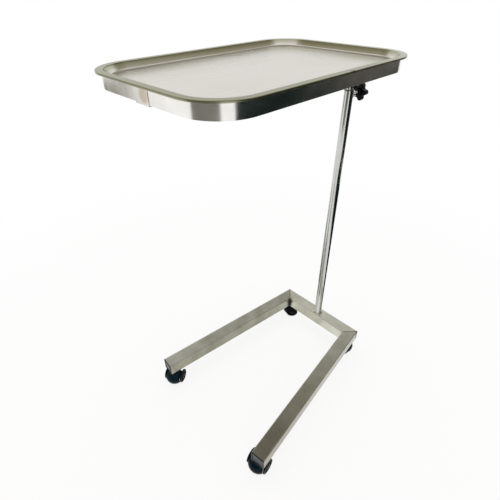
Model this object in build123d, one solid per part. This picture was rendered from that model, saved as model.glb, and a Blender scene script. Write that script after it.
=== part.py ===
from build123d import *
import math
import os

# A wheeled instrument stand: a pressed tray lifts out of a strip ring, the ring is
# carried by a bent post that slides and turns in a mast, and the mast stands on an
# open base of square tube with four swivelling twin-disc casters.
# Millimetres, +Z up, floor at z = 0, +X towards the right leg, the open end of the
# base towards -Y, origin on the floor under the middle of the stand.

# Base frame
base_rear_width = 287.0      # outer corner to outer corner
leg_length = 510.0           # along the outer edge
leg_splay = 7.3              # degrees that each leg opens outwards
tube_size = 38.0
tube_wall = 1.5
tube_corner = 2.5
cap_rim = 3.0                # border round the dished face of a leg cap
cap_plate = 2.4
cap_dish = 1.2
cap_skirt = 2.6              # how far a cap plugs into its leg
weld_size = 4.0

# Casters
caster_height = 48.0         # floor to the underside of the tubes
wheel_diameter = 40.0
wheel_rim_width = 4.6
caster_width = 54.0          # over both wheels
wheel_hub_diameter = 15.0
wheel_dish = 1.2
axle_diameter = 6.0
caster_trail = 10.0          # axle behind the swivel axis
hood_lead = 6.0              # middle of the hood ahead of the axle
hood_radius = 25.5           # at the middle of its crown
hood_side_radius = 15.0      # at its two open sides
hood_wall = 2.0
hood_rear_rise = 50.0        # slope in degrees of the hood's lower edge
hood_web = 6.0
hood_floor_gap = 7.0         # floor to the lowest edge of the hood
swivel_boss_diameter = 19.0
stem_diameter = 8.0
stem_length = 35.0
socket_diameter = 12.0
socket_length = 20.0
front_stem_inset = 9.0       # from the end of a leg
front_stem_inward = 8.0      # off the middle of the leg, towards the other leg
rear_stem_inset = 2.0        # from the middle of the mitre, along the leg
rear_stem_inward = 2.0
front_left_heading = -60.0   # degrees in plan that each hood faces
front_right_heading = -80.0
rear_left_heading = -138.0
rear_right_heading = 24.0

# Mast and its clamp
mast_from_rear = 22.0        # axis ahead of the rear face of the base
mast_diameter = 22.0
mast_wall = 1.5
mast_rise = 718.0            # top of the tube above the base tubes
bush_length = 34.0
bush_flange = 1.2
clamp_drop = 11.0            # clamp axis below the top of the mast
clamp_boss_diameter = 15.0
clamp_boss_reach = 21.0      # from the mast axis
screw_diameter = 8.0
pad_thickness = 2.6
pad_diameter = 7.0
knob_reach = 41.0            # mast axis to the near face of the knob's lobes
knob_thickness = 14.0
knob_core_diameter = 27.0
knob_lobe_diameter = 12.0
knob_lobe_pitch = 28.0       # circle that the lobes stand on
knob_lobes = 5
knob_hub_diameter = 17.0
knob_hub_length = 7.0
screw_in_knob = 12.0

# Post
post_diameter = 16.0
post_wall = 1.5
post_bend = 50.0
post_sunk = 500.0            # length of post inside the mast
glide_length = 26.0
glide_neck = 14.0
post_run = 430.0             # from the mast axis to the front end of the post
plug_dome = 3.0
plug_length = 12.0

# Tray and its ring
tray_length = 490.0
tray_width = 333.0
tray_corner = 75.0
rim_height = 902.0           # top of the tray's lip above the floor
tray_from_rear = 311.0       # middle of the tray ahead of the rear face of the base
tray_depth = 12.5
tray_sheet = 1.2
lip_width = 12.0
lip_turn = 3.2               # height of the turned-down edge
wall_slope = 24.0            # degrees that the tray's walls lean out
tray_floor_round = 4.5
band_inset = 7.8             # ring's outer face behind the edge of the lip
band_thickness = 3.0
band_height = 24.0
spine_width = 40.0
spine_thickness = 3.0
spine_end_gap = 1.5          # its ends behind the outer face of the ring
spine_corner = 6.0

# Fits, each a gap on the radius or on one side
running_gap = 0.05
press_gap = 0.02
seat_gap = 0.3
wheel_side_gap = 0.4
touch_gap = 0.1

# Places worked out from the sizes above
base_bottom = caster_height
base_top = base_bottom + tube_size
mast_top = base_top + mast_rise
band_top = rim_height - tray_sheet - seat_gap
band_bottom = band_top - band_height
spine_bottom = band_bottom - spine_thickness
post_run_z = spine_bottom - post_diameter / 2
front_y = -tray_from_rear - tray_length / 2
back_y = -mast_from_rear + knob_reach + knob_thickness
rear_y = -(front_y + back_y) / 2
mast_y = rear_y - mast_from_rear
tray_y = rear_y - tray_from_rear
clamp_z = mast_top - clamp_drop
wheel_radius = wheel_diameter / 2
hood_half_width = caster_width / 2 - wheel_rim_width - wheel_side_gap


def plan_point(point, direction, distance):
    """Step from a plan point along a plan direction."""
    return (point[0] + direction[0] * distance, point[1] + direction[1] * distance)


def leg_lines(side):
    """Plan direction, inward normal and outer rear corner of a leg; side is -1 or 1."""
    splay = math.radians(leg_splay)
    along = (side * math.sin(splay), -math.cos(splay))
    inward = (-side * math.cos(splay), -math.sin(splay))
    corner = (side * base_rear_width / 2, rear_y)
    return along, inward, corner


def mitre_plane(side):
    """Upright plane through the outer and inner corners; its normal points at the leg."""
    along, inward, corner = leg_lines(side)
    seam = (-side + along[0], along[1])
    length = math.hypot(seam[0], seam[1])
    normal = (-side * seam[1] / length, side * seam[0] / length)
    return Plane(origin=(corner[0], corner[1], base_bottom), z_dir=(normal[0], normal[1], 0))


def mitre_middle(side):
    """Point where the middle lines of the crossbar and a leg meet."""
    along, inward, corner = leg_lines(side)
    reach = (tube_size / 2) * (1 + inward[1]) / -along[1]
    return plan_point(plan_point(corner, inward, tube_size / 2), along, reach)


def square_tube(length):
    """Hollow square tube with rounded edges, from the origin along +X, middle on the axis."""
    outside = Plane.YZ * RectangleRounded(tube_size, tube_size, tube_corner)
    bore = tube_size - 2 * tube_wall
    inside = Plane.YZ * RectangleRounded(bore, bore, tube_corner - tube_wall)
    return extrude(outside, length) - extrude(inside, length)


def stem_places():
    """Plan point and hood heading of each caster, by name."""
    places = {}
    headings = {
        "front_left": front_left_heading,
        "front_right": front_right_heading,
        "rear_left": rear_left_heading,
        "rear_right": rear_right_heading,
    }
    for side, word in ((-1, "left"), (1, "right")):
        along, inward, corner = leg_lines(side)
        middle = plan_point(corner, inward, tube_size / 2)
        front = plan_point(middle, along, leg_length - front_stem_inset)
        front = plan_point(front, inward, front_stem_inward)
        rear = plan_point(mitre_middle(side), along, rear_stem_inset)
        rear = plan_point(rear, inward, rear_stem_inward)
        places["front_" + word] = (front, headings["front_" + word])
        places["rear_" + word] = (rear, headings["rear_" + word])
    return places


def socket_holes():
    """Round holes for the caster sockets in the lower walls of the base tubes."""
    holes = []
    for point, heading in stem_places().values():
        holes.append(Pos(point[0], point[1], base_bottom) * Cylinder(socket_diameter / 2, 4 * tube_wall))
    return holes


def make_crossbar():
    start = Pos(-base_rear_width / 2, rear_y - tube_size / 2, base_bottom + tube_size / 2)
    bar = start * square_tube(base_rear_width)
    for side in (-1, 1):
        bar = split(bar, bisect_by=mitre_plane(side), keep=Keep.BOTTOM)
    hole = Pos(0, mast_y, base_top) * Cylinder(mast_diameter / 2, 4 * tube_wall)
    return bar - hole - socket_holes()


def make_leg(side):
    along, inward, corner = leg_lines(side)
    overrun = tube_size
    start = plan_point(plan_point(corner, inward, tube_size / 2), along, -overrun)
    turn = math.degrees(math.atan2(along[1], along[0]))
    place = Location((start[0], start[1], base_bottom + tube_size / 2), (0, 0, turn))
    leg = place * square_tube(leg_length + overrun)
    leg = split(leg, bisect_by=mitre_plane(side), keep=Keep.TOP)
    return leg - socket_holes()


def make_leg_cap(side):
    """Plug with a dished face that closes the front end of a leg."""
    along, inward, corner = leg_lines(side)
    middle = plan_point(plan_point(corner, inward, tube_size / 2), along, leg_length)
    turn = math.degrees(math.atan2(along[1], along[0]))
    plate = extrude(Plane.YZ * RectangleRounded(tube_size, tube_size, tube_corner), cap_plate)
    dish_size = tube_size - 2 * cap_rim
    dish = extrude(Plane.YZ * RectangleRounded(dish_size, dish_size, tube_corner), cap_dish)
    bore = tube_size - 2 * tube_wall - 2 * press_gap
    skirt = extrude(Plane.YZ * RectangleRounded(bore, bore, tube_corner - tube_wall), -cap_skirt)
    hollow = bore - 2 * cap_plate
    skirt -= extrude(Plane.YZ * Rectangle(hollow, hollow), -cap_skirt)
    cap = plate - Pos(cap_plate - cap_dish, 0, 0) * dish
    edges = cap.faces().sort_by(Axis.X)[-1].outer_wire().edges()
    cap = fillet(edges, cap_dish / 2) + skirt
    return Location((middle[0], middle[1], base_bottom + tube_size / 2), (0, 0, turn)) * cap


def make_mast_tube():
    """Outer tube, from the floor of the crossbar through its upper wall."""
    bottom = base_bottom + tube_wall
    height = mast_top - bottom
    tube = Cylinder(mast_diameter / 2, height, align=(Align.CENTER, Align.CENTER, Align.MIN))
    bore_height = height + 1
    tube -= Cylinder(mast_diameter / 2 - mast_wall, bore_height, align=(Align.CENTER, Align.CENTER, Align.MIN))
    return Pos(0, mast_y, bottom) * tube - clamp_hole(screw_diameter / 2 + seat_gap)


def clamp_hole(radius):
    """Rearward hole along the clamp axis, from the mast axis outwards."""
    length = clamp_boss_reach + 1
    hole = Cylinder(radius, length, align=(Align.CENTER, Align.CENTER, Align.MIN))
    return Location((0, mast_y, clamp_z), (-90, 0, 0)) * hole


def ring(profile, place):
    """Full turn of a closed profile drawn in the XZ plane, about Z."""
    return place * revolve(Plane.XZ * profile, Axis.Z)


def make_mast_weld():
    """Fillet weld round the foot of the mast, hollow-faced."""
    inner = mast_diameter / 2
    with BuildSketch() as bead:
        with BuildLine():
            Line((inner, 0), (inner + weld_size, 0))
            ThreePointArc(
                (inner + weld_size, 0),
                (inner + weld_size * 0.42, weld_size * 0.42),
                (inner, weld_size),
            )
            Line((inner, weld_size), (inner, 0))
        make_face()
    return ring(bead.sketch, Pos(0, mast_y, base_top))


def make_bush():
    """Flanged guide bush in the top of the mast, slotted for the clamp pad."""
    outer = mast_diameter / 2 - mast_wall - press_gap
    inner = post_diameter / 2 + running_gap
    sleeve = Cylinder(outer, bush_length, align=(Align.CENTER, Align.CENTER, Align.MAX))
    flange = Cylinder(mast_diameter / 2, bush_flange, align=(Align.CENTER, Align.CENTER, Align.MIN))
    flange = chamfer(flange.edges().sort_by(Axis.Z)[-1:], bush_flange / 2)
    body = sleeve + flange
    body -= Cylinder(inner, 3 * bush_length)
    return Pos(0, mast_y, mast_top) * body - clamp_hole(screw_diameter / 2 + seat_gap)


def make_clamp_boss():
    """Threaded boss welded to the back of the mast."""
    body = Cylinder(clamp_boss_diameter / 2, clamp_boss_reach, align=(Align.CENTER, Align.CENTER, Align.MIN))
    body = chamfer(body.edges().sort_by(Axis.Z)[-1:], 1.0)
    body -= Cylinder(screw_diameter / 2 + running_gap, 3 * clamp_boss_reach)
    boss = Location((0, mast_y, clamp_z), (-90, 0, 0)) * body
    return boss - Pos(0, mast_y, clamp_z) * Cylinder(mast_diameter / 2, 2 * clamp_boss_diameter)


def clamp_axis(distance):
    """Place on the clamp axis at a distance from the mast axis, +Z pointing outwards."""
    return Location((0, mast_y + distance, clamp_z), (-90, 0, 0))


def make_clamp_pad():
    """Soft disc between the screw and the post."""
    start = post_diameter / 2 + touch_gap
    pad = Cylinder(pad_diameter / 2, pad_thickness, align=(Align.CENTER, Align.CENTER, Align.MIN))
    return clamp_axis(start) * chamfer(pad.edges(), 0.4)


def make_clamp_screw():
    start = post_diameter / 2 + touch_gap + pad_thickness + touch_gap
    length = knob_reach + screw_in_knob - start
    screw = Cylinder(screw_diameter / 2, length, align=(Align.CENTER, Align.CENTER, Align.MIN))
    return clamp_axis(start) * chamfer(screw.edges(), 0.8)


def make_clamp_knob():
    """Lobed knob with a hub towards the mast and a dished crown."""
    outline = Circle(knob_core_diameter / 2)
    outline += PolarLocations(knob_lobe_pitch / 2, knob_lobes) * Circle(knob_lobe_diameter / 2)
    outline = fillet(outline.vertices(), knob_lobe_diameter / 3)
    body = extrude(outline, knob_thickness)
    ends = body.edges().filter_by(GeomType.LINE, reverse=True).filter_by(Plane.XY)
    body = fillet(ends, 2.4)
    hub = Cylinder(knob_hub_diameter / 2, knob_hub_length, align=(Align.CENTER, Align.CENTER, Align.MAX))
    body += chamfer(hub.edges().sort_by(Axis.Z)[:1], 1.0)
    crown = Pos(0, 0, knob_thickness) * Cylinder(knob_hub_diameter / 2, 2 * cap_dish)
    body -= crown
    hole_depth = knob_hub_length + screw_in_knob
    hole = Cylinder(screw_diameter / 2 + press_gap, hole_depth, align=(Align.CENTER, Align.CENTER, Align.MIN))
    body -= Pos(0, 0, -knob_hub_length) * hole
    return clamp_axis(knob_reach) * body


def make_post():
    """Round tube that rises in the mast, bends forward and runs under the ring."""
    low = mast_top - post_sunk
    run = post_run - plug_dome
    corners = [(0, mast_y, low), (0, mast_y, post_run_z), (0, mast_y - run, post_run_z)]
    path = FilletPolyline(*corners, radius=post_bend)
    solid = sweep(Pos(0, mast_y, low) * Circle(post_diameter / 2), path=path)
    bore = sweep(Pos(0, mast_y, low) * Circle(post_diameter / 2 - post_wall), path=path)
    return solid - bore


def make_glide():
    """Plug in the lower end of the post that guides it in the mast."""
    low = mast_top - post_sunk
    head = mast_diameter / 2 - mast_wall - running_gap
    neck = post_diameter / 2 - post_wall - running_gap
    lower = Cylinder(head, glide_length - glide_neck, align=(Align.CENTER, Align.CENTER, Align.MAX))
    lower = chamfer(lower.edges().sort_by(Axis.Z)[:1], 1.5)
    upper = Cylinder(neck, glide_neck, align=(Align.CENTER, Align.CENTER, Align.MIN))
    return Pos(0, mast_y, low - touch_gap) * (lower + upper)


def make_post_plug():
    """Domed plug in the front end of the post."""
    neck = post_diameter / 2 - post_wall - press_gap
    dome = Cylinder(post_diameter / 2, plug_dome, align=(Align.CENTER, Align.CENTER, Align.MIN))
    dome = fillet(dome.edges().sort_by(Axis.Z)[-1:], plug_dome * 0.85)
    plug = dome + Cylinder(neck, plug_length, align=(Align.CENTER, Align.CENTER, Align.MAX))
    place = Location((0, mast_y - post_run + plug_dome, post_run_z), (90, 0, 0))
    return place * plug


def tray_outline(inset):
    """Rounded rectangle a set distance inside the edge of the tray's lip."""
    width = tray_width - 2 * inset
    length = tray_length - 2 * inset
    return Pos(0, tray_y, 0) * RectangleRounded(width, length, tray_corner - inset)


def make_band():
    """Strip bent on edge into a ring that the tray's lip rests on."""
    wall = tray_outline(band_inset) - tray_outline(band_inset + band_thickness)
    return Pos(0, 0, band_bottom) * extrude(wall, band_height)


def make_spine():
    """Flat bar welded under the ring from end to end, over the post."""
    length = tray_length - 2 * (band_inset + spine_end_gap)
    bar = extrude(RectangleRounded(spine_width, length, spine_corner), spine_thickness)
    return Pos(0, tray_y, spine_bottom) * bar


def make_tray():
    """Pressed tray: flat floor, rounded corners, leaning walls and a turned-down lip."""
    top = Pos(0, 0, rim_height)
    outer = extrude(tray_outline(lip_width - tray_sheet), -tray_depth - tray_sheet, taper=wall_slope)
    outer = fillet(outer.faces().sort_by(Axis.Z)[0].edges(), tray_floor_round + tray_sheet)
    inner = extrude(tray_outline(lip_width), -tray_depth, taper=wall_slope)
    inner = fillet(inner.faces().sort_by(Axis.Z)[0].edges(), tray_floor_round)
    lip = extrude(tray_outline(0), -tray_sheet)
    edge = extrude(tray_outline(0) - tray_outline(tray_sheet), -lip_turn)
    pan = outer + lip + edge - inner
    rim = pan.faces().sort_by(Axis.Z)[-1].outer_wire().edges()
    return top * fillet(rim, tray_sheet * 0.6)


def make_socket(point):
    """Sleeve through the lower wall of a leg, closed at the top, for a caster stem."""
    sleeve = Cylinder(socket_diameter / 2, socket_length, align=(Align.CENTER, Align.CENTER, Align.MIN))
    bore = Cylinder(
        stem_diameter / 2 + running_gap,
        socket_length - tube_wall,
        align=(Align.CENTER, Align.CENTER, Align.MIN),
    )
    return Pos(point[0], point[1], base_bottom) * (sleeve - bore)


def make_stem():
    """Steel pin from the hood's boss up into the socket."""
    bottom = base_bottom + socket_length - tube_wall - 2 * seat_gap - stem_length
    stem = Cylinder(stem_diameter / 2, stem_length, align=(Align.CENTER, Align.CENTER, Align.MIN))
    return Pos(0, 0, bottom) * chamfer(stem.edges(), 0.8)


def crowned_drum(half_width, crown, side):
    """Barrel about the hood's middle line, which lies along Y."""
    with BuildSketch() as half:
        with BuildLine():
            Polyline((0, -half_width), (side, -half_width))
            ThreePointArc((side, -half_width), (crown, 0), (side, half_width))
            Polyline((side, half_width), (0, half_width), (0, -half_width))
        make_face()
    return Pos(hood_lead - caster_trail, 0, wheel_radius) * revolve(half.sketch, Axis.Y)


def make_hood():
    """Ball-shaped hood over the axle, with a middle web, an axle boss and a swivel boss."""
    outside = crowned_drum(hood_half_width, hood_radius, hood_side_radius)
    inside = crowned_drum(
        hood_half_width + 1,
        hood_radius - hood_wall,
        hood_side_radius - hood_wall - 1,
    )
    slab = Box(4 * hood_radius, hood_web, 4 * hood_radius)
    shell = outside - inside + (outside & slab)
    rise = math.radians(hood_rear_rise)
    lower_edge = Plane(
        origin=(hood_lead - caster_trail, 0, wheel_radius - hood_wall),
        z_dir=(math.sin(rise), 0, math.cos(rise)),
    )
    shell = split(shell, bisect_by=lower_edge, keep=Keep.TOP)
    shell = split(shell, bisect_by=Plane.XY.offset(hood_floor_gap), keep=Keep.TOP)
    axle_boss = Pos(-caster_trail, 0, wheel_radius) * Rot(90, 0, 0) * Cylinder(axle_diameter, hood_web)
    stem_bottom = base_bottom + socket_length - tube_wall - 2 * seat_gap - stem_length
    boss_height = base_bottom - 2 * seat_gap - stem_bottom + hood_wall
    boss = Pos(0, 0, stem_bottom - hood_wall) * Cylinder(
        swivel_boss_diameter / 2, boss_height, align=(Align.CENTER, Align.CENTER, Align.MIN)
    )
    hood = shell + axle_boss + boss
    stem_hole = Cylinder(
        stem_diameter / 2 + press_gap, caster_height, align=(Align.CENTER, Align.CENTER, Align.MIN)
    )
    axle_hole = Rot(90, 0, 0) * Cylinder(axle_diameter / 2 + press_gap, caster_width)
    return hood - Pos(0, 0, stem_bottom) * stem_hole - Pos(-caster_trail, 0, wheel_radius) * axle_hole


def make_axle():
    length = caster_width - wheel_rim_width
    axle = Rot(90, 0, 0) * Cylinder(axle_diameter / 2, length)
    return Pos(-caster_trail, 0, wheel_radius) * chamfer(axle.edges(), 0.5)


def make_wheel(hand):
    """Disc wheel with a rounded tread, a dished outer face and a hub; hand is -1 or 1."""
    outer = caster_width / 2
    inner = outer - wheel_rim_width
    hub = wheel_hub_diameter / 2
    hub_start = hood_web / 2 + wheel_side_gap
    bore_end = outer - wheel_rim_width / 2 + seat_gap
    disc = Cylinder(wheel_radius, wheel_rim_width, align=(Align.CENTER, Align.CENTER, Align.MIN))
    disc = fillet(disc.edges(), wheel_rim_width * 0.32)
    dish = Cylinder(wheel_radius - 2 * wheel_dish - hub / 4, wheel_dish)
    dish -= Cylinder(hub, wheel_dish)
    body = Pos(0, 0, inner) * disc - Pos(0, 0, outer - wheel_dish / 2) * dish
    sleeve = Cylinder(hub, inner + wheel_rim_width / 2 - hub_start, align=(Align.CENTER, Align.CENTER, Align.MIN))
    body += Pos(0, 0, hub_start) * sleeve
    bore = Cylinder(
        axle_diameter / 2 + running_gap, bore_end, align=(Align.CENTER, Align.CENTER, Align.MIN)
    )
    return Pos(-caster_trail, 0, wheel_radius) * Rot(-90 * hand, 0, 0) * (body - bore)


def build_parts():
    """Every node by name, in place."""
    parts = {
        "base_crossbar": make_crossbar(),
        "leg_left": make_leg(-1),
        "leg_right": make_leg(1),
        "leg_cap_left": make_leg_cap(-1),
        "leg_cap_right": make_leg_cap(1),
        "mast_tube": make_mast_tube(),
        "mast_foot_weld": make_mast_weld(),
        "mast_bush": make_bush(),
        "clamp_boss": make_clamp_boss(),
        "clamp_pad": make_clamp_pad(),
        "clamp_screw": make_clamp_screw(),
        "clamp_knob": make_clamp_knob(),
        "post_tube": make_post(),
        "post_glide": make_glide(),
        "post_end_plug": make_post_plug(),
        "tray_band": make_band(),
        "tray_spine": make_spine(),
        "tray": make_tray(),
    }
    caster_pieces = {
        "stem": make_stem(),
        "hood": make_hood(),
        "axle": make_axle(),
        "wheel_1": make_wheel(1),
        "wheel_2": make_wheel(-1),
    }
    for name, (point, heading) in stem_places().items():
        parts[name + "_socket"] = make_socket(point)
        place = Location((point[0], point[1], 0), (0, 0, heading))
        for piece, shape in caster_pieces.items():
            parts[name + "_" + piece] = place * shape
    return parts


os.makedirs("parts", exist_ok=True)
for node, shape in build_parts().items():
    export_step(shape, "parts/" + node + ".step")
print("origin ahead of the rear face of the base by", round(rear_y, 2))
for name, (point, heading) in stem_places().items():
    print(name, "swivel axis at", round(point[0], 3), round(point[1], 3))
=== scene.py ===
import bpy
import bmesh
import math
from mathutils import Matrix, Vector


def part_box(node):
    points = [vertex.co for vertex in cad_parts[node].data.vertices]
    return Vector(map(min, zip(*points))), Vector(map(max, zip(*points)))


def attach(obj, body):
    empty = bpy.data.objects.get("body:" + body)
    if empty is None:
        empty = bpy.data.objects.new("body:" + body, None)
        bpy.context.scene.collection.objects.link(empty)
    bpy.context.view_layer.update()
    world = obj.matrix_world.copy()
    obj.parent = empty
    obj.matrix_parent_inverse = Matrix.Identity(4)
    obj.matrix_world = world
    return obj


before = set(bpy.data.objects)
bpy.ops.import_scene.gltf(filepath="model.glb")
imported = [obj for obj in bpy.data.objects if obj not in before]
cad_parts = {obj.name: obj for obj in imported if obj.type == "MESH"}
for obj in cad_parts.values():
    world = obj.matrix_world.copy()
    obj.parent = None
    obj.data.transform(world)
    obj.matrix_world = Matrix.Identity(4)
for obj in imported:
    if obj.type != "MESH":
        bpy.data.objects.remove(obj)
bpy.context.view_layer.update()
mm = 0.001
corners = ("front_left", "front_right", "rear_left", "rear_right")


# small helpers used by every piece

def toLinear(code):
    channels = []
    for start in (1, 3, 5):
        value = int(code[start:start + 2], 16) / 255
        channels.append(value / 12.92 if value <= 0.04045 else ((value + 0.055) / 1.055) ** 2.4)
    return (*channels, 1.0)


def metres(values):
    return tuple(value * mm for value in values)


def newMaterial(name):
    material = bpy.data.materials.new(name)
    material.use_nodes = True
    material.node_tree.nodes.clear()
    return material


def addNode(material, kind, inputs=None, **settings):
    node = material.node_tree.nodes.new(kind)
    for key, value in settings.items():
        setattr(node, key, value)
    for key, value in (inputs or {}).items():
        if isinstance(value, bpy.types.NodeSocket):
            material.node_tree.links.new(value, node.inputs[key])
        else:
            node.inputs[key].default_value = value
    return node


def addPlace(material):
    return addNode(material, "ShaderNodeTexCoord").outputs["Object"]


def addNoise(material, place, size, detail, roughness):
    # size is the width of one patch in mm
    return addNode(material, "ShaderNodeTexNoise", {
        "Vector": place, "Scale": 1.0 / (size * mm), "Detail": detail,
        "Roughness": roughness}).outputs["Fac"]


def addRamp(material, value, *stops):
    node = addNode(material, "ShaderNodeValToRGB", {"Fac": value})
    for element, (place, code) in zip(node.color_ramp.elements, stops):
        element.position = place
        element.color = toLinear(code)
    return node.outputs[0]


def addRange(material, value, span, result, curve="LINEAR"):
    return addNode(material, "ShaderNodeMapRange", {
        "Value": value, "From Min": span[0], "From Max": span[1],
        "To Min": result[0], "To Max": result[1]}, interpolation_type=curve).outputs[0]


def addMath(material, operation, *values):
    return addNode(material, "ShaderNodeMath", dict(enumerate(values)),
                   operation=operation).outputs[0]


def addMix(material, share, below, above, blend="MIX"):
    # inputs 6 and 7 are the two colours, and output 2 the mixed one
    return addNode(material, "ShaderNodeMix", {0: share, 6: below, 7: above},
                   data_type="RGBA", blend_type=blend).outputs[2]


def addDistance(material, place, point):
    return addNode(material, "ShaderNodeVectorMath", {0: place, 1: metres(point)},
                   operation="DISTANCE").outputs["Value"]


def addSurface(material, height, strength, depth, shading):
    # fine relief from a texture's height (depth in mm), then the shader and the output
    bump = addNode(material, "ShaderNodeBump", {
        "Strength": strength, "Distance": depth * mm, "Height": height})
    shader = addNode(material, "ShaderNodeBsdfPrincipled", {
        **shading, "Normal": bump.outputs[0]})
    addNode(material, "ShaderNodeOutputMaterial", {"Surface": shader.outputs[0]})
    return material


def finishMesh(name, work, material, body, smooth=True):
    bmesh.ops.recalc_face_normals(work, faces=work.faces)
    mesh = bpy.data.meshes.new(name)
    work.to_mesh(mesh)
    work.free()
    for polygon in mesh.polygons:
        polygon.use_smooth = smooth
    piece = bpy.data.objects.new(name, mesh)
    bpy.context.scene.collection.objects.link(piece)
    piece.data.materials.append(material)
    if body:
        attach(piece, body)
    return piece


def boxMiddle(node):
    low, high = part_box(node)
    return (low + high) / 2


def everything(work):
    return work.verts[:] + work.edges[:] + work.faces[:]


def closeEnds(work):
    rims = [edge for edge in work.edges if edge.is_boundary]
    bmesh.ops.holes_fill(work, edges=rims, sides=0)


# finishes: noise values mostly lie in this span, which is spread over each result

noiseSpan = (0.3, 0.7)

trayFinish = {
    "steel": "#dfdcd6", "shade": "#dad6cf",
    "streak": 5.28,                 # mm between polishing lines, coarser than real so they show
    "stretch": (1.0, 0.03, 0.4),
    "wiped": 142.857,               # mm across a wiped mark
    "wipedTint": "#f6f5f2",
    "rough": (0.25, 0.29),
    "relief": 0.012, "reliefDepth": 0.01,
    "wallPaintedReflection": "#9f9d84",          # painted dark olive reflection on the upper part of the walls
    "wallHeights": (892.0, 899.5),  # mm above the floor of the room
    "wallShare": 0.72,
    # painted dark olive reflection on the rolled lip
    "lipPaintedReflection": "#7d7e5b",
    "lipHeights": (899.0, 901.2),
    "lipShare": 0.9,
    "fadeAlong": (40.0, 150.0),     # the lip's painted reflection fades towards the rear
    "fadeTo": 0.35,
    "nick": (163.8, -27.0, 901.7),  # a dark knock on the lip
    "nickReach": (3.0, 5.4), "nickShare": 0.95, "nickTint": "#3c3629",
}


def makePressedSteel():
    # stainless sheet, deep drawn and satin polished lengthways: broad soft glare, faint lines and
    # wiped marks, with a painted dark olive reflection on the rolled lip and the upper part of
    # the walls
    finish = trayFinish
    material = newMaterial("pressedStainlessSatin")
    place = addPlace(material)
    along = addNode(material, "ShaderNodeMapping", {
        "Vector": place, "Scale": finish["stretch"]}).outputs[0]
    streaks = addNoise(material, along, finish["streak"], 3.0, 0.6)
    wiped = addNoise(material, place, finish["wiped"], 2.0, 0.5)
    tone = addRamp(material, streaks, (0.30, finish["shade"]), (0.70, finish["steel"]))
    haze = addRamp(material, wiped, (0.35, finish["wipedTint"]), (0.70, "#ffffff"))
    colour = addMix(material, 1.0, tone, haze, "MULTIPLY")
    axes = addNode(material, "ShaderNodeSeparateXYZ", {"Vector": place}).outputs
    # painted reflection: the upper walls turn dark olive
    wallReflectionShare = addRange(material, axes["Z"], metres(finish["wallHeights"]),
                    (0.0, finish["wallShare"]), "SMOOTHSTEP")
    colour = addMix(material, wallReflectionShare, colour, toLinear(finish["wallPaintedReflection"]))
    # painted reflection: the rolled lip turns dark olive, less towards the rear
    lipReflectionShare = addRange(material, axes["Z"], metres(finish["lipHeights"]),
                   (0.0, finish["lipShare"]), "SMOOTHSTEP")
    lipReflectionFade = addRange(material, axes["Y"], metres(finish["fadeAlong"]), (1.0, finish["fadeTo"]))
    lipReflectionShare = addMath(material, "MULTIPLY", lipReflectionShare, lipReflectionFade)
    colour = addMix(material, lipReflectionShare, colour, toLinear(finish["lipPaintedReflection"]))
    near = addDistance(material, place, finish["nick"])
    nick = addRange(material, near, metres(finish["nickReach"]), (finish["nickShare"], 0.0))
    colour = addMix(material, nick, colour, toLinear(finish["nickTint"]))
    rough = addRange(material, wiped, noiseSpan, finish["rough"])
    return addSurface(material, streaks, finish["relief"], finish["reliefDepth"], {
        "Base Color": colour, "Metallic": 1.0, "Roughness": rough})


ringFinish = {
    "steel": "#fbfaf7", "shade": "#ebe9e3",
    "line": 1.2,                    # mm between rolling lines
    "stretch": (0.04, 0.04, 1.0),
    "blotch": 45.4545,              # mm across a mark from handling
    "rough": (0.14, 0.22),
    "relief": 0.02, "reliefDepth": 0.01,
    "joint": (10.0, -286.7, 888.0),  # where the strip's ends were welded
    "heat": "#c9b69e", "heatReach": (7.0, 15.0), "heatShare": 0.75,
}


def makeRingSteel():
    # cold-rolled stainless strip: bright, with rolling lines along it, some blotches from
    # handling and a warm straw patch by the weld
    finish = ringFinish
    material = newMaterial("brightRolledStrip")
    place = addPlace(material)
    flat = addNode(material, "ShaderNodeMapping", {
        "Vector": place, "Scale": finish["stretch"]}).outputs[0]
    lines = addNoise(material, flat, finish["line"], 3.0, 0.6)
    blotch = addNoise(material, place, finish["blotch"], 3.0, 0.5)
    tone = addRamp(material, blotch, (0.35, finish["shade"]), (0.62, finish["steel"]))
    beside = addDistance(material, place, finish["joint"])
    warmed = addRange(material, beside, metres(finish["heatReach"]),
                      (finish["heatShare"], 0.0), "SMOOTHSTEP")
    tone = addMix(material, warmed, tone, toLinear(finish["heat"]))
    rough = addRange(material, blotch, noiseSpan, finish["rough"])
    return addSurface(material, lines, finish["relief"], finish["reliefDepth"], {
        "Base Color": tone, "Metallic": 1.0, "Roughness": rough})


splay = math.radians(7.3)
legTurn = {word: math.atan2(-math.cos(splay), hand * math.sin(splay))
           for hand, word in ((-1, "left"), (1, "right"))}
darkCornerPlaces = ((-110.0, 223.5, 74.0), (-110.0, 223.5, 58.0))

tubeFinish = {
    "scratch": 1.6,                 # mm between belt scratches, coarser than real so they show
    "stretch": (0.02, 1.0, 1.0),
    "cloud": 62.5,                  # mm across a cloudy patch
    "cloudTint": "#e2e1da",
    "rough": (0.27, 0.32),
    "relief": 0.02, "reliefDepth": 0.01,
    "frontTint": "#958a7b",         # painted shade: browner and darker towards the open end of the right leg
    "frontAlong": (60.0, -170.0),
    "darkCorner": "#2b271c",              # a dark brown patch in the left inner corner, where the crossbar meets the leg
    "darkCornerWander": 8.0, "darkCornerReach": (7.0, 20.0), "darkCornerShare": 0.9,
}

# one tube stock in three copies, toned apart as painted light: the crossbar painted paler, the
# legs darker
tubeLitTones = {
    "satinTubeCrossbar": {"steel": "#e4e3d9", "shade": "#d8d7cc", "turn": 0.0,
                          "darkCorners": darkCornerPlaces, "front": 0.0},
    "satinTubeLegLeft": {"steel": "#c6c5bb", "shade": "#b9b8ae", "turn": legTurn["left"],
                         "darkCorners": darkCornerPlaces, "front": 0.0},
    "satinTubeLegRight": {"steel": "#c9c8be", "shade": "#bdbcb2", "turn": legTurn["right"],
                          "darkCorners": (), "front": 0.62},
}


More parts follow.
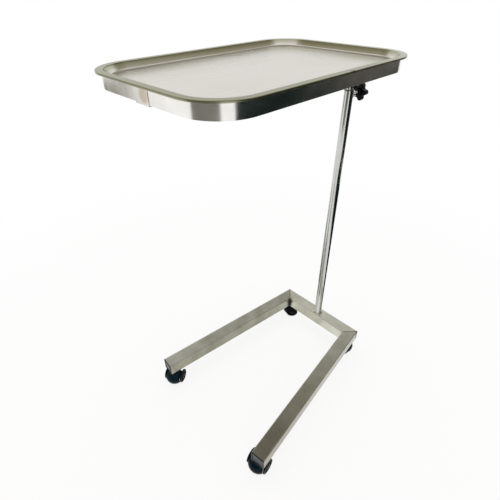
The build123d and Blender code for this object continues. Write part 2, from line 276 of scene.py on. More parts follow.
def makeSatinTube(name):
    # stainless square tube, belt ground along its length: satin and cloudy, its tone set per
    # piece as painted light, with painted shade on the right leg's front and a dark patch in the
    # left inner corner
    finish, tones = tubeFinish, tubeLitTones[name]
    material = newMaterial(name)
    place = addPlace(material)
    turned = addNode(material, "ShaderNodeMapping", {
        "Vector": place, "Rotation": (0, 0, -tones["turn"])}).outputs[0]
    along = addNode(material, "ShaderNodeMapping", {
        "Vector": turned, "Scale": finish["stretch"]}).outputs[0]
    scratches = addNoise(material, along, finish["scratch"], 3.0, 0.6)
    cloudy = addNoise(material, place, finish["cloud"], 3.0, 0.55)
    tone = addRamp(material, scratches, (0.3, tones["shade"]), (0.7, tones["steel"]))
    haze = addRamp(material, cloudy, (0.35, finish["cloudTint"]), (0.65, "#ffffff"))
    colour = addMix(material, 1.0, tone, haze, "MULTIPLY")
    # painted shade: the right leg darker and browner towards its open end
    if tones["front"]:
        axes = addNode(material, "ShaderNodeSeparateXYZ", {"Vector": place}).outputs
        frontShade = addRange(material, axes["Y"], metres(finish["frontAlong"]),
                        (0.0, tones["front"]), "SMOOTHSTEP")
        colour = addMix(material, frontShade, colour, toLinear(finish["frontTint"]))
    # a dark brown patch at the left inner corner of the base
    for darkCorner in tones["darkCorners"]:
        reach = addDistance(material, place, darkCorner)
        wavy = addMath(material, "MULTIPLY_ADD", cloudy, finish["darkCornerWander"] * mm, reach)
        mask = addRange(material, wavy, metres(finish["darkCornerReach"]),
                        (finish["darkCornerShare"], 0.0), "SMOOTHSTEP")
        colour = addMix(material, mask, colour, toLinear(finish["darkCorner"]))
    rough = addRange(material, cloudy, noiseSpan, finish["rough"])
    return addSurface(material, scratches, finish["relief"], finish["reliefDepth"], {
        "Base Color": colour, "Metallic": 1.0, "Roughness": rough})


mastFinish = {
    "steel": "#d3d4d0", "shade": "#c6c7c2",
    "line": 1.5,                    # mm between rings from the polishing wheel
    "stretch": (0.1, 0.1, 1.0),
    "smear": 71.4286,               # mm across a smear
    "rough": (0.11, 0.16),
    "relief": 0.01, "reliefDepth": 0.01,
}


def makePolishedTube():
    # stainless round tube, mop polished: nearly a mirror, with faint rings from the wheel
    finish = mastFinish
    material = newMaterial("mopPolishedTube")
    place = addPlace(material)
    flat = addNode(material, "ShaderNodeMapping", {
        "Vector": place, "Scale": finish["stretch"]}).outputs[0]
    wheel = addNoise(material, flat, finish["line"], 3.0, 0.6)
    smear = addNoise(material, place, finish["smear"], 4.0, 0.6)
    tone = addRamp(material, smear, (0.3, finish["shade"]), (0.7, finish["steel"]))
    rough = addRange(material, wheel, noiseSpan, finish["rough"])
    return addSurface(material, wheel, finish["relief"], finish["reliefDepth"], {
        "Base Color": tone, "Metallic": 1.0, "Roughness": rough})


beadFinish = {"patch": 7.0, "detail": 4.0, "rough": 0.36, "relief": 0.3, "reliefDepth": 0.2}

patchyFinish = {
    # filler bead as laid: dull, coarse, straw and brown from the heat
    "weldBeadAsLaid": {**beadFinish, "pale": "#b5b2a6", "dark": "#76705c"},
    # bead gone over with a wire brush: coarse still, but pale all over
    "weldBeadBrushed": {**beadFinish, "pale": "#e2e0d8", "dark": "#b5b2a6"},
    # bead left as it cooled, burnt: brown to nearly black
    "weldBeadBurnt": {**beadFinish, "pale": "#57513f", "dark": "#1d1a12"},
    # bead taken down with a flap disc: nearly flush, a fine line darker than the tube
    "groundWeld": {"patch": 3.0, "detail": 3.0, "rough": 0.34, "relief": 0.15,
                   "reliefDepth": 0.05, "pale": "#6b675b", "dark": "#48443a"},
    # turned steel, zinc plated: pale grey with fine cloudy patches
    "zincPlatedSteel": {"patch": 4.0, "detail": 4.0, "rough": 0.30, "relief": 0.1,
                        "reliefDepth": 0.05, "pale": "#c6c8c9", "dark": "#9a9d9f"},
}


def makePatchyMetal(name):
    # one metal in two tones, whose patches are also its relief: each is described above
    finish = patchyFinish[name]
    material = newMaterial(name)
    patch = addNoise(material, addPlace(material), finish["patch"], finish["detail"], 0.6)
    tone = addRamp(material, patch, (0.35, finish["dark"]), (0.65, finish["pale"]))
    return addSurface(material, patch, finish["relief"], finish["reliefDepth"], {
        "Base Color": tone, "Metallic": 1.0, "Roughness": finish["rough"]})


mouldedFinish = {
    "cloud": 22.2222,               # mm across a duller patch
    "spread": 0.1,                  # how much duller it is
    "relief": 0.15, "reliefDepth": 0.04,
    "dustHeight": 12.0, "dustShare": 0.55,
}

mouldedTones = {
    # the hood is black nylon; its teal tint is a painted sheen
    "blackHoodNylonPaintedSheen": {"deep": "#021019", "pale": "#05202c", "rough": 0.18, "grain": 0.5,
                         "gloss": 0.07},
    "mouldedWheelNylon": {"deep": "#020405", "pale": "#06090b", "rough": 0.30, "grain": 0.6,
                          "gloss": 0.06, "dust": "#1c1b19"},
    "mouldedKnobNylon": {"deep": "#020304", "pale": "#06080a", "rough": 0.24, "grain": 0.5,
                         "gloss": 0.10},
    "mouldedKnobInsert": {"deep": "#06080a", "pale": "#0d1012", "rough": 0.18, "grain": 0.5,
                          "gloss": 0.2},
    "mouldedHubCap": {"deep": "#04070a", "pale": "#0a0e12", "rough": 0.22, "grain": 0.5,
                      "gloss": 0.12},
    "turnedNaturalNylon": {"deep": "#cfcabb", "pale": "#dedacd", "rough": 0.40, "grain": 0.5,
                           "gloss": 0.5},
}


def makeMoulded(name):
    # nylon, moulded or turned: an even colour, fine grain, a soft sheen, dust low on the wheels,
    # and a painted teal sheen in the hood's colour
    finish, tones = mouldedFinish, mouldedTones[name]
    material = newMaterial(name)
    place = addPlace(material)
    speck = addNoise(material, place, tones["grain"], 2.0, 0.5)
    cloud = addNoise(material, place, finish["cloud"], 4.0, 0.6)
    colour = addRamp(material, cloud, (0.35, tones["deep"]), (0.70, tones["pale"]))
    if "dust" in tones:
        axes = addNode(material, "ShaderNodeSeparateXYZ", {"Vector": place}).outputs
        low = addRange(material, axes["Z"], (0.0, finish["dustHeight"] * mm),
                       (finish["dustShare"], 0.0))
        patchy = addMath(material, "MULTIPLY", low, cloud)
        colour = addMix(material, patchy, colour, toLinear(tones["dust"]))
    sheen = addRange(material, cloud, noiseSpan,
                     (tones["rough"], tones["rough"] + finish["spread"]))
    return addSurface(material, speck, finish["relief"], finish["reliefDepth"], {
        "Base Color": colour, "Roughness": sheen, "IOR": 1.53,
        "Specular IOR Level": tones["gloss"]})


capFinish = {
    # the face colour is a painted reflection on the smooth dish of a black plug
    "rim": "#08090b", "face": "#2a3641",
    "dish": 31.0, "edge": 0.8,      # mm across the dished face and its soft edge
    "cloud": 16.6667,
    "rough": (0.28, 0.40), "gloss": 0.3,
    "relief": 0.1, "reliefDepth": 0.05,
}


def makeCapNylon(name, node, turn):
    # moulded black end plug: black rim, and a smooth dished face painted paler and bluish as a
    # painted reflection
    finish = capFinish
    material = newMaterial(name)
    place = addPlace(material)
    cloud = addNoise(material, place, finish["cloud"], 3.0, 0.5)
    moved = addNode(material, "ShaderNodeVectorMath", {0: place, 1: tuple(-boxMiddle(node))},
                    operation="ADD").outputs[0]
    turned = addNode(material, "ShaderNodeMapping", {
        "Vector": moved, "Rotation": (0, 0, -turn)}).outputs[0]
    size = addNode(material, "ShaderNodeVectorMath", {0: turned}, operation="ABSOLUTE").outputs[0]
    axes = addNode(material, "ShaderNodeSeparateXYZ", {"Vector": size}).outputs
    widest = addMath(material, "MAXIMUM", axes["Y"], axes["Z"])
    edge = metres((finish["dish"] / 2, finish["dish"] / 2 + finish["edge"]))
    paintedReflectionShare = addRange(material, widest, edge, (1.0, 0.0))
    # painted reflection: the dished face paler and bluish than the black rim
    colour = addMix(material, paintedReflectionShare, toLinear(finish["rim"]), toLinear(finish["face"]))
    sheen = addRange(material, cloud, noiseSpan, finish["rough"])
    return addSurface(material, cloud, finish["relief"], finish["reliefDepth"], {
        "Base Color": colour, "Roughness": sheen, "IOR": 1.5,
        "Specular IOR Level": finish["gloss"]})


# the nodes of the CAD model and what each one is finished with

pressedSteel = makePressedSteel()
ringSteel = makeRingSteel()
polishedTube = makePolishedTube()
patchy = {name: makePatchyMetal(name) for name in patchyFinish}
moulded = {name: makeMoulded(name) for name in mouldedTones}
weldMetal, groundMetal = patchy["weldBeadAsLaid"], patchy["groundWeld"]
zincPlate = patchy["zincPlatedSteel"]
hoodNylonPaintedSheen, wheelNylon = moulded["blackHoodNylonPaintedSheen"], moulded["mouldedWheelNylon"]
knobNylon, paleNylon = moulded["mouldedKnobNylon"], moulded["turnedNaturalNylon"]

nodeFinish = {
    "tray": pressedSteel,
    "tray_band": ringSteel,
    "tray_spine": ringSteel,
    "base_crossbar": makeSatinTube("satinTubeCrossbar"),
    "leg_left": makeSatinTube("satinTubeLegLeft"),
    "leg_right": makeSatinTube("satinTubeLegRight"),
    "leg_cap_left": makeCapNylon("mouldedCapLeft", "leg_cap_left", legTurn["left"]),
    "leg_cap_right": makeCapNylon("mouldedCapRight", "leg_cap_right", legTurn["right"]),
    "mast_tube": polishedTube,
    "mast_foot_weld": weldMetal,
    "mast_bush": knobNylon,
    "clamp_boss": polishedTube,
    "clamp_pad": paleNylon,
    "clamp_screw": zincPlate,
    "clamp_knob": knobNylon,
    "post_tube": polishedTube,
    "post_glide": paleNylon,
    "post_end_plug": knobNylon,
}
casterFinish = {"_socket": zincPlate, "_stem": zincPlate, "_axle": zincPlate,
                "_hood": hoodNylonPaintedSheen, "_wheel_1": wheelNylon, "_wheel_2": wheelNylon}
for corner in corners:
    for ending, material in casterFinish.items():
        nodeFinish[corner + ending] = material

for nodeName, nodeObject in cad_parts.items():
    nodeObject.data.materials.clear()
    nodeObject.data.materials.append(nodeFinish[nodeName])
print("finishes are on", len(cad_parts), "nodes")


# welds, threads and moulded details that the solids leave out

beadMesh = {"sides": 12, "stepsPerPitch": 4, "fewestSteps": 4}


def layBead(name, start, end, above, bead, body, material):
    # a straight run of weld, one ripple for each pitch, from a ring extruded step by step
    start, end, above = Vector(start) * mm, Vector(end) * mm, Vector(above).normalized()
    along = (end - start).normalized()
    turn = Matrix((above.cross(along), above, along)).transposed().to_4x4()
    perPitch = beadMesh["stepsPerPitch"]
    work = bmesh.new()
    bmesh.ops.create_circle(work, segments=beadMesh["sides"], radius=1.0)
    bmesh.ops.scale(work, vec=(bead["width"] / 2 * mm, bead["height"] * mm, 1), verts=work.verts)
    bmesh.ops.transform(work, matrix=Matrix.Translation(start) @ turn, verts=work.verts)
    steps = max(beadMesh["fewestSteps"],
                round((end - start).length / (bead["pitch"] / perPitch * mm)))
    edges, before = work.edges[:], 1.0
    for step in range(1, steps + 1):
        made = bmesh.ops.extrude_edge_only(work, edges=edges)["geom"]
        edges = [part for part in made
                 if isinstance(part, bmesh.types.BMEdge) and part.is_boundary]
        verts = [part for part in made if isinstance(part, bmesh.types.BMVert)]
        bmesh.ops.translate(work, vec=(end - start) / steps, verts=verts)
        size = 1.0 - bead["ripple"] * (step % perPitch) / (perPitch - 1)
        middle = start + (end - start) * step / steps
        bmesh.ops.scale(work, vec=(size / before,) * 3, space=Matrix.Translation(-middle),
                        verts=verts)
        before = size
    closeEnds(work)
    return finishMesh(name, work, material, body)


turnedMesh = {"steps": 40, "weld": 0.002}      # mm within which the points on the axis join


def turnPiece(name, profile, place, axis, material, body):
    # a turned or moulded round piece: a line of (radius, height) points spun about its axis
    work = bmesh.new()
    points = [work.verts.new((radius * mm, 0, height * mm)) for radius, height in profile]
    for first, second in zip(points, points[1:]):
        work.edges.new((first, second))
    bmesh.ops.spin(work, geom=everything(work), cent=(0, 0, 0), axis=(0, 0, 1),
                   angle=math.tau, steps=turnedMesh["steps"], use_merge=True)
    bmesh.ops.remove_doubles(work, verts=work.verts, dist=turnedMesh["weld"] * mm)
    turn = Vector(axis).to_track_quat("Z", "Y").to_matrix().to_4x4()
    bmesh.ops.transform(work, matrix=Matrix.Translation(place) @ turn, verts=work.verts)
    return finishMesh(name, work, material, body)


cornerWeld = {
    "outer": (143.5, 261.5), "inner": (110.06, 223.5),    # ends of the mitre in plan
    "mitres": {"Top": {"height": 86.0, "up": 1, "reach": (0.03, 0.97)},
               "Under": {"height": 48.0, "up": -1, "reach": (0.02, 0.24)}},
    "mitreBead": {"width": 2.4, "height": 0.22, "pitch": 1.6, "ripple": 0.10},
    "innerHeights": (50.5, 83.8),
    "innerBead": {"width": 6.0, "height": 2.0, "pitch": 2.2, "ripple": 0.16},
    "outerHeights": (50.0, 84.0),
    "outerBead": {"width": 2.2, "height": 0.35, "pitch": 1.6, "ripple": 0.10},
}


def makeCornerWelds():
    # mitred corners of the base: ground nearly flush outside, a full bead in the inner corner
    outer, inner = cornerWeld["outer"], cornerWeld["inner"]
    for hand, word in ((-1, "Left"), (1, "Right")):
        far = Vector((hand * outer[0], outer[1], 0))
        near = Vector((hand * inner[0], inner[1], 0))
        for face, mitre in cornerWeld["mitres"].items():
            lift = Vector((0, 0, mitre["height"]))
            start, end = (far.lerp(near, share) + lift for share in mitre["reach"])
            layBead("mitreBead" + face + word, start, end, (0, 0, mitre["up"]),
                    cornerWeld["mitreBead"], "base", groundMetal)
        inward = (near - far).normalized()
        start, end = (near + Vector((0, 0, height)) for height in cornerWeld["innerHeights"])
        layBead("innerCornerBead" + word, start, end, inward, cornerWeld["innerBead"], "base",
                patchy["weldBeadBurnt"] if hand < 0 else weldMetal)
        start, end = (far + Vector((0, 0, height)) for height in cornerWeld["outerHeights"])
        layBead("outerCornerBead" + word, start, end, -inward, cornerWeld["outerBead"], "base",
                groundMetal)


footWeld = {"radius": 11.6, "width": 3.6, "height": 3.4, "sides": 14, "ripples": 34,
            "stepsPerRipple": 4, "ripple": 0.22, "wander": 0.05, "waves": 5, "shift": 0.6}


def makeFootWeld():
    # the run round the foot of the mast, laid on the crossbar in overlapping dabs
    work = bmesh.new()
    foot = boxMiddle("mast_foot_weld")
    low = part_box("mast_foot_weld")[0].z
    bmesh.ops.create_circle(work, segments=footWeld["sides"], radius=1.0)
    bmesh.ops.scale(work, vec=(footWeld["width"] * mm, footWeld["height"] * mm, 1),
                    verts=work.verts)
    bmesh.ops.rotate(work, matrix=Matrix.Rotation(math.radians(90), 3, "X"), verts=work.verts)
    bmesh.ops.translate(work, vec=(footWeld["radius"] * mm, 0, 0), verts=work.verts)
    bmesh.ops.spin(work, geom=everything(work), cent=(0, 0, 0), axis=(0, 0, 1), angle=math.tau,
                   steps=footWeld["ripples"] * footWeld["stepsPerRipple"], use_merge=True)
    for vert in work.verts:
        part = (math.atan2(vert.co.y, vert.co.x) / math.tau) % 1.0
        pull = 1.0 - footWeld["ripple"] * ((part * footWeld["ripples"]) % 1.0)
        wave = math.sin(part * math.tau * footWeld["waves"] + footWeld["shift"])
        ring = Vector((vert.co.x, vert.co.y, 0)).normalized() * footWeld["radius"] * mm
        vert.co = ring + (vert.co - ring) * (pull + footWeld["wander"] * wave)
    bmesh.ops.bisect_plane(work, geom=everything(work), plane_co=(0, 0, 0), plane_no=(0, 0, 1),
                           clear_inner=True)
    bmesh.ops.translate(work, vec=(foot.x, foot.y, low), verts=work.verts)
    return finishMesh("mastFootRipples", work, patchy["weldBeadBrushed"], "base")


ringWeld = {
    "seam": (21.6, -286.7), "seamHeights": (877.2, 899.6),
    "seamBead": {"width": 1.8, "height": 0.22, "pitch": 1.6, "ripple": 0.10},
    "stitches": (150.0, 40.0, -70.0, -176.0),      # their middles, along the post
    "stitchReach": 9.0, "stitchSide": 5.2, "stitchHeight": 872.1, "stitchFace": (0.8, -0.6),
    "stitchBead": {"width": 4.4, "height": 1.9, "pitch": 2.4, "ripple": 0.16},
    "ends": {"Front": (-283.7, 1), "Rear": (184.7, -1)},
    "endReach": 17.0, "endHeight": 876.9,
    "endBead": {"width": 4.0, "height": 1.9, "pitch": 2.4, "ripple": 0.16},
}


def makeTrayWelds():
    # the strip's joint, the flat bar's stitches to the post and its ends at the strip
    x, y = ringWeld["seam"]
    low, high = ringWeld["seamHeights"]
    layBead("stripJointBead", (x, y, low), (x, y, high), (0, -1, 0), ringWeld["seamBead"],
            "post", groundMetal)
    reach, height, (out, up) = (ringWeld[key] for key in (
        "stitchReach", "stitchHeight", "stitchFace"))
    for index, middle in enumerate(ringWeld["stitches"]):
        for hand, word in ((-1, "Left"), (1, "Right")):
            x = hand * ringWeld["stitchSide"]
            layBead("postStitch" + word + str(index + 1), (x, middle - reach, height),
                    (x, middle + reach, height), (hand * out, 0, up), ringWeld["stitchBead"],
                    "post", weldMetal)
    reach, height = ringWeld["endReach"], ringWeld["endHeight"]
    for word, (y, face) in ringWeld["ends"].items():
        layBead("ringStitch" + word, (-reach, y, height), (reach, y, height), (0, face, 1),
                ringWeld["endBead"], "post", weldMetal)


screwThread = {"pitch": 1.25, "start": 261.6, "end": 272.4, "stepsPerTurn": 24,
               # one tooth: distance from the axis and place along it
               "tooth": ((3.9, -0.575), (4.28, -0.12), (4.28, 0.12), (3.9, 0.575))}


def makeScrewThread():
    # rolled metric thread on the length of the screw that shows between its boss and the knob
    length = screwThread["end"] - screwThread["start"]
    turns = length / screwThread["pitch"]
    steps = round(turns * screwThread["stepsPerTurn"])
    middle = boxMiddle("clamp_screw")
    work = bmesh.new()
    points = [work.verts.new((radius * mm, along * mm, 0))
              for radius, along in screwThread["tooth"]]
    for first, second in zip(points, points[1:]):
        work.edges.new((first, second))
    bmesh.ops.spin(work, geom=everything(work), cent=(0, 0, 0), axis=(0, 1, 0),
                   dvec=(0, length / steps * mm, 0), angle=math.tau * turns, steps=steps)
    bmesh.ops.translate(work, vec=(middle.x, screwThread["start"] * mm, middle.z),
                        verts=work.verts)
    return finishMesh("screwThread", work, zincPlate, "clamp_knob")


bossWeld = {"radius": 8.0, "width": 2.2, "height": 1.5, "sides": 12, "ripples": 22,
            "stepsPerRipple": 4, "ripple": 0.2,
            "tube": 11.0, "tubeEdge": 0.98}     # the mast's radius, and the share of it used


def makeBossWeld():
    # small run where the threaded boss meets the mast: the ring is bent to the tube it lies on
    boss = boxMiddle("clamp_screw")
    mast = boxMiddle("mast_tube")
    tube = bossWeld["tube"] * mm
    work = bmesh.new()
    bmesh.ops.create_circle(work, segments=bossWeld["sides"], radius=1.0)
    bmesh.ops.scale(work, vec=(bossWeld["width"] * mm, bossWeld["height"] * mm, 1),
                    verts=work.verts)
    bmesh.ops.translate(work, vec=(bossWeld["radius"] * mm, 0, 0), verts=work.verts)
    bmesh.ops.spin(work, geom=everything(work), cent=(0, 0, 0), axis=(0, 1, 0), angle=math.tau,
                   steps=bossWeld["ripples"] * bossWeld["stepsPerRipple"], use_merge=True)
    for vert in work.verts:
        part = (math.atan2(vert.co.z, vert.co.x) / math.tau) % 1.0
        pull = 1.0 - bossWeld["ripple"] * ((part * bossWeld["ripples"]) % 1.0)
        ring = Vector((vert.co.x, 0, vert.co.z)).normalized() * bossWeld["radius"] * mm
        vert.co = ring + (vert.co - ring) * pull
        aside = min(abs(vert.co.x), tube * bossWeld["tubeEdge"])
        vert.co.y += math.sqrt(tube ** 2 - aside ** 2)
    bmesh.ops.translate(work, vec=(mast.x, mast.y, boss.z), verts=work.verts)
    return finishMesh("bossWeldRipples", work, weldMetal, "base")


knobCrown = {
    "below": 2.35,                  # mm from the knob's outer end down to the dish
    "insert": [(0.0, 0.95), (4.6, 0.8), (5.6, 0.45), (6.0, 0.0), (6.0, -0.5)],
    "ring": [(7.3, 0.0), (7.5, 0.35), (8.0, 0.35), (8.2, 0.0)],
}


def makeKnobDetails():
    # moulded crown of the knob: a domed cap in its dish, with a fine raised ring round it
    middle = boxMiddle("clamp_knob")
    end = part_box("clamp_knob")[1].y
    dish = Vector((middle.x, end - knobCrown["below"] * mm, middle.z))
    turnPiece("knobCrownCap", knobCrown["insert"], dish, (0, 1, 0),
              moulded["mouldedKnobInsert"], "clamp_knob")
    turnPiece("knobCrownRing", knobCrown["ring"], dish, (0, 1, 0), knobNylon, "clamp_knob")


casterDetails = {
    "trail": 10.0, "lead": 6.0, "axleHeight": 20.0,     # mm from the swivel and the floor
    "crown": 25.5,                                      # radius of the hood's back
    "ridge": (0.224, 0.448), "ridgeSides": 8, "ridgeSteps": 40,
    "ridgeArc": (-29.0, 131.0),
    "face": 27.0,                                       # the wheel's outer face from the middle
    "dishRadius": 15.4, "hubRadius": 7.5, "dishDepth": 1.2,
    "ribs": 6, "ribWidth": 1.5, "ribLap": 0.6, "ribSink": 0.62, "ribTaper": 0.7, "ribEdge": 0.25,
    "hubCap": [(0.0, 0.75), (2.6, 0.62), (3.3, 0.30), (3.6, 0.30), (4.2, 0.55), (5.2, 0.35),
               (5.6, 0.0), (5.6, -0.3)],
}


def casterFrame(corner):
    swivel = boxMiddle(corner + "_stem")
    axle = boxMiddle(corner + "_axle")
    heading = math.atan2(swivel.y - axle.y, swivel.x - axle.x)
    return Matrix.Translation((swivel.x, swivel.y, 0)) @ Matrix.Rotation(heading, 4, "Z")


def makeHoodRidge(corner):
    # flash line where the two halves of the mould met, over the crown of the hood
    details = casterDetails
    low, high = (math.radians(value) for value in details["ridgeArc"])
    wide, tall = metres(details["ridge"])
    work = bmesh.new()
    bmesh.ops.create_circle(work, segments=details["ridgeSides"], radius=1.0)
    bmesh.ops.scale(work, vec=(wide, tall, 1), verts=work.verts)
    bmesh.ops.translate(work, vec=(details["crown"] * mm, 0, 0), verts=work.verts)
    bmesh.ops.rotate(work, matrix=Matrix.Rotation(math.radians(90), 3, "X"), verts=work.verts)
    bmesh.ops.rotate(work, cent=(0, 0, 0), matrix=Matrix.Rotation(-low, 3, "Y"),
                     verts=work.verts)
    bmesh.ops.spin(work, geom=everything(work), cent=(0, 0, 0), axis=(0, -1, 0),
                   angle=high - low, steps=details["ridgeSteps"])
    closeEnds(work)
    forward = (details["lead"] - details["trail"]) * mm
    centre = Matrix.Translation((forward, 0, details["axleHeight"] * mm))
    bmesh.ops.transform(work, matrix=casterFrame(corner) @ centre, verts=work.verts)
    return finishMesh(corner + "_mouldLine", work, hoodNylonPaintedSheen, corner + "_caster")


def makeWheelFace(corner, number, hand):
    # ribs in the dish of a wheel and the pressed-on cap over its hub
    details = casterDetails
    place = casterFrame(corner)
    centre = place @ Vector((-details["trail"] * mm, 0, details["axleHeight"] * mm))
    axis = place.to_3x3() @ Vector((0, hand, 0))
    outward = centre + axis * details["face"] * mm
    body = corner + "_wheel_" + str(number)
    turnPiece(body + "_cap", details["hubCap"], outward, axis, moulded["mouldedHubCap"], body)
    length = (details["dishRadius"] - details["hubRadius"] + details["ribLap"]) * mm
    reach = (details["dishRadius"] + details["hubRadius"]) / 2 * mm
    width, depth = details["ribWidth"] * mm, details["dishDepth"] * mm
    work = bmesh.new()
    for index in range(details["ribs"]):
        made = bmesh.ops.create_cube(work, size=1.0)["verts"]
        bmesh.ops.scale(work, vec=(length, width, depth), verts=made)
        bmesh.ops.translate(work, vec=(reach, 0, -depth * details["ribSink"]), verts=made)
        bmesh.ops.scale(work, vec=(1, details["ribTaper"], 1),
                        verts=[vert for vert in made if vert.co.x > reach])
        edges = list({edge for vert in made for edge in vert.link_edges})
        done = bmesh.ops.bevel(work, geom=edges, offset=details["ribEdge"] * mm,
                               offset_type="OFFSET", segments=2, profile=0.5, affect="EDGES",
                               material=-1)["verts"]
        kept = {vert for vert in made if vert.is_valid} | set(done)
        turn = Matrix.Rotation(math.tau * index / details["ribs"], 3, "Z")
        bmesh.ops.rotate(work, cent=(0, 0, 0), matrix=turn, verts=list(kept))
    turn = axis.to_track_quat("Z", "Y").to_matrix().to_4x4()
    bmesh.ops.transform(work, matrix=Matrix.Translation(outward) @ turn, verts=work.verts)
    return finishMesh(body + "_ribs", work, wheelNylon, body)


makeCornerWelds()
makeFootWeld()
makeTrayWelds()
makeScrewThread()
makeBossWeld()
makeKnobDetails()
for corner in corners:
    makeHoodRidge(corner)
    makeWheelFace(corner, 1, -1)
    makeWheelFace(corner, 2, 1)
print("welds, thread and moulded details are made")


# floor, lamps and camera

studio = {
    "floor": "#f4f3f0", "floorSize": 6.0,
    "floorGlow": 0.86,              # share of the floor that the camera sees as plain white
    "floorFade": (0.5, 1.8),        # m from the middle over which the rest turns white too
    "world": 0.62,
    "middle": (0, 0, 0.5),
    "key": {"place": (-0.3, 0.2, 2.6), "size": 2.2, "power": 26.0},
    "fill": {"place": (1.8, -1.6, 1.9), "size": 1.6, "power": 10.0},
}


def addSeen(material):
    # 1 for the rays of the camera and those that metal or glass sends on, 0 for plain light
    ray = addNode(material, "ShaderNodeLightPath").outputs
    seen = addMath(material, "MAXIMUM", ray["Is Camera Ray"], ray["Is Glossy Ray"])
    return addMath(material, "MAXIMUM", seen, ray["Is Transmission Ray"])


def makeStudio():
    # matt floor that shows soft shadows and ends in plain white
    floorPaint = newMaterial("paleFloorPaint")
    paint = addNode(floorPaint, "ShaderNodeBsdfDiffuse", {"Color": toLinear(studio["floor"])})
    glow = addNode(floorPaint, "ShaderNodeEmission", {"Color": (1, 1, 1, 1), "Strength": 1.0})
    away = addNode(floorPaint, "ShaderNodeVectorMath", {0: addPlace(floorPaint)},
                   operation="LENGTH").outputs["Value"]
    share = addRange(floorPaint, away, studio["floorFade"], (studio["floorGlow"], 1.0),
                     "SMOOTHSTEP")
    seen = addMath(floorPaint, "MULTIPLY", addSeen(floorPaint), share)
    blend = addNode(floorPaint, "ShaderNodeMixShader", {
        0: seen, 1: paint.outputs[0], 2: glow.outputs[0]})
    addNode(floorPaint, "ShaderNodeOutputMaterial", {"Surface": blend.outputs[0]})
    work = bmesh.new()
    bmesh.ops.create_grid(work, x_segments=1, y_segments=1, size=studio["floorSize"])
    floor = finishMesh("studioFloor", work, floorPaint, None, smooth=False)

    world = bpy.data.worlds.new("studioAir")
    bpy.context.scene.world = world
    world.use_nodes = True
    world.node_tree.nodes.clear()
    strength = addRange(world, addSeen(world), (0.0, 1.0), (studio["world"], 1.0))
    air = addNode(world, "ShaderNodeBackground", {"Color": (1, 1, 1, 1), "Strength": strength})
    addNode(world, "ShaderNodeOutputWorld", {"Surface": air.outputs[0]})


def addLamp(name, settings):
    lamp = bpy.data.lights.new(name, "AREA")
    lamp.shape = "SQUARE"
    lamp.size = settings["size"]
    lamp.energy = settings["power"]
    holder = bpy.data.objects.new(name, lamp)
    bpy.context.scene.collection.objects.link(holder)
    holder.location = settings["place"]
    aim = Vector(studio["middle"]) - Vector(settings["place"])
    holder.rotation_euler = aim.to_track_quat("-Z", "Y").to_euler()
    holder.visible_glossy = False   # the metal shows the cards and the plain air, not the lamp


# cards that only the metal sees: they give it the darker streaks of a real room
cards = {
    "rightLow": {"middle": (1.45, 0.68, 0.42), "size": (2.9, 0.84), "face": (-0.9, -0.42, 0),
                 "tone": "#17211f"},
    "rightFloor": {"middle": (1.0, 0.47, 0.004), "size": (1.9, 0.9), "face": (0, 0, 1),
                   "turn": 115, "tone": "#17211f"},
    "behindFloor": {"middle": (0.05, 0.86, 0.003), "size": (1.5, 1.06), "face": (0, 0, 1),
                    "tone": "#1c232c"},
    "rightEnd": {"middle": (0.66, 1.42, 0.42), "size": (0.66, 0.84), "face": (-0.4, -0.92, 0),
                 "turn": 90, "tone": "#4d4b46"},
    "frontFloor": {"middle": (0.0, -0.52, 0.003), "size": (0.19, 1.14), "face": (0, 0, 1),
                   "tone": "#7c7b72"},
    "legFloor": {"middle": (-0.085, -0.01, 0.005), "size": (0.12, 0.46), "face": (0, 0, 1),
                 "turn": -7.3, "tone": "#d6d5cc"},
    "leftFloor": {"middle": (-0.66, 0.0, 0.003), "size": (0.9, 0.26), "face": (0, 0, 1),
                  "turn": 20, "tone": "#6a6964"},
    "frontLow": {"middle": (0.50, -1.86, 0.42), "size": (2.2, 0.84), "face": (-0.2, 0.98, 0),
                 "tone": "#77766f"},
    "leftEnd": {"middle": (-1.5, -0.64, 0.42), "size": (0.40, 0.84), "face": (1, 0, 0),
                "turn": 90, "tone": "#8f8c84"},
    "rightHigh": {"middle": (1.6, 1.5, 2.0), "size": (2.7, 1.3), "face": (-0.72, -0.68, -0.3),
                  "tone": "#97937a"},
    "leftHigh": {"middle": (-1.4, -1.7, 2.1), "size": (2.5, 1.3), "face": (0.62, 0.77, -0.3),
                 "tone": "#948f70"},
    "ceiling": {"middle": (-0.9, 1.3, 3.0), "size": (3.2, 3.2), "face": (0, 0, -1),
                "tone": "#a9a89f"},
}
hiddenFrom = ("camera", "diffuse", "transmission", "volume_scatter", "shadow")


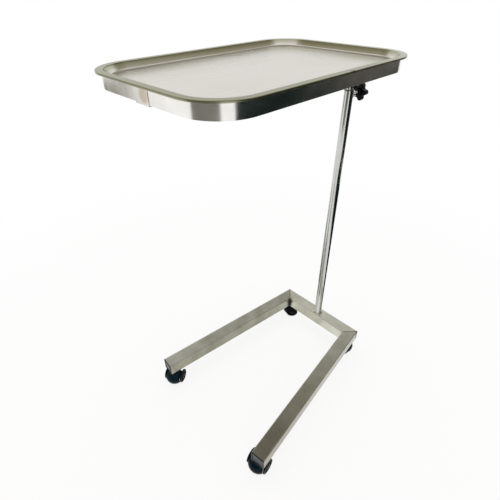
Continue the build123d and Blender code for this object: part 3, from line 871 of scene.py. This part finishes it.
def addCards():
    for name, card in cards.items():
        paint = newMaterial(name + "Card")
        glow = addNode(paint, "ShaderNodeEmission", {
            "Color": toLinear(card["tone"]), "Strength": 1.0})
        addNode(paint, "ShaderNodeOutputMaterial", {"Surface": glow.outputs[0]})
        work = bmesh.new()
        bmesh.ops.create_grid(work, x_segments=1, y_segments=1, size=0.5)
        bmesh.ops.scale(work, vec=(*card["size"], 1), verts=work.verts)
        turn = Vector(card["face"]).to_track_quat("Z", "Y").to_matrix().to_4x4()
        turn = turn @ Matrix.Rotation(math.radians(card.get("turn", 0)), 4, "Z")
        bmesh.ops.transform(work, matrix=Matrix.Translation(card["middle"]) @ turn,
                            verts=work.verts)
        piece = finishMesh(name + "Board", work, paint, None, smooth=False)
        for kind in hiddenFrom:
            setattr(piece, "visible_" + kind, False)


view = {
    "place": (0.48086, -0.5488, 1.0135),
    "yaw": 45.815, "pitch": 36.450, "roll": -0.602,
    "lens": 26.605, "sensor": 36.0, "nearest": 0.02,
}


def addCamera():
    yaw, pitch, roll = (math.radians(view[key]) for key in ("yaw", "pitch", "roll"))
    ahead = Vector((-math.sin(yaw) * math.cos(pitch), math.cos(yaw) * math.cos(pitch),
                    -math.sin(pitch)))
    level = Vector((math.cos(yaw), math.sin(yaw), 0))
    upright = level.cross(ahead)
    right = level * math.cos(roll) + upright * math.sin(roll)
    above = upright * math.cos(roll) - level * math.sin(roll)
    lens = bpy.data.cameras.new("photoCamera")
    lens.lens = view["lens"]
    lens.sensor_width = view["sensor"]
    lens.sensor_fit = "HORIZONTAL"
    lens.clip_start = view["nearest"]
    camera = bpy.data.objects.new("photoCamera", lens)
    bpy.context.scene.collection.objects.link(camera)
    turn = Matrix((right, above, -ahead)).transposed().to_4x4()
    camera.matrix_world = Matrix.Translation(view["place"]) @ turn
    bpy.context.scene.camera = camera


makeStudio()
addLamp("overheadSoftbox", studio["key"])
addLamp("cameraSideFill", studio["fill"])
addCards()
addCamera()
bpy.context.scene.view_settings.view_transform = "Standard"
print("studio is set")
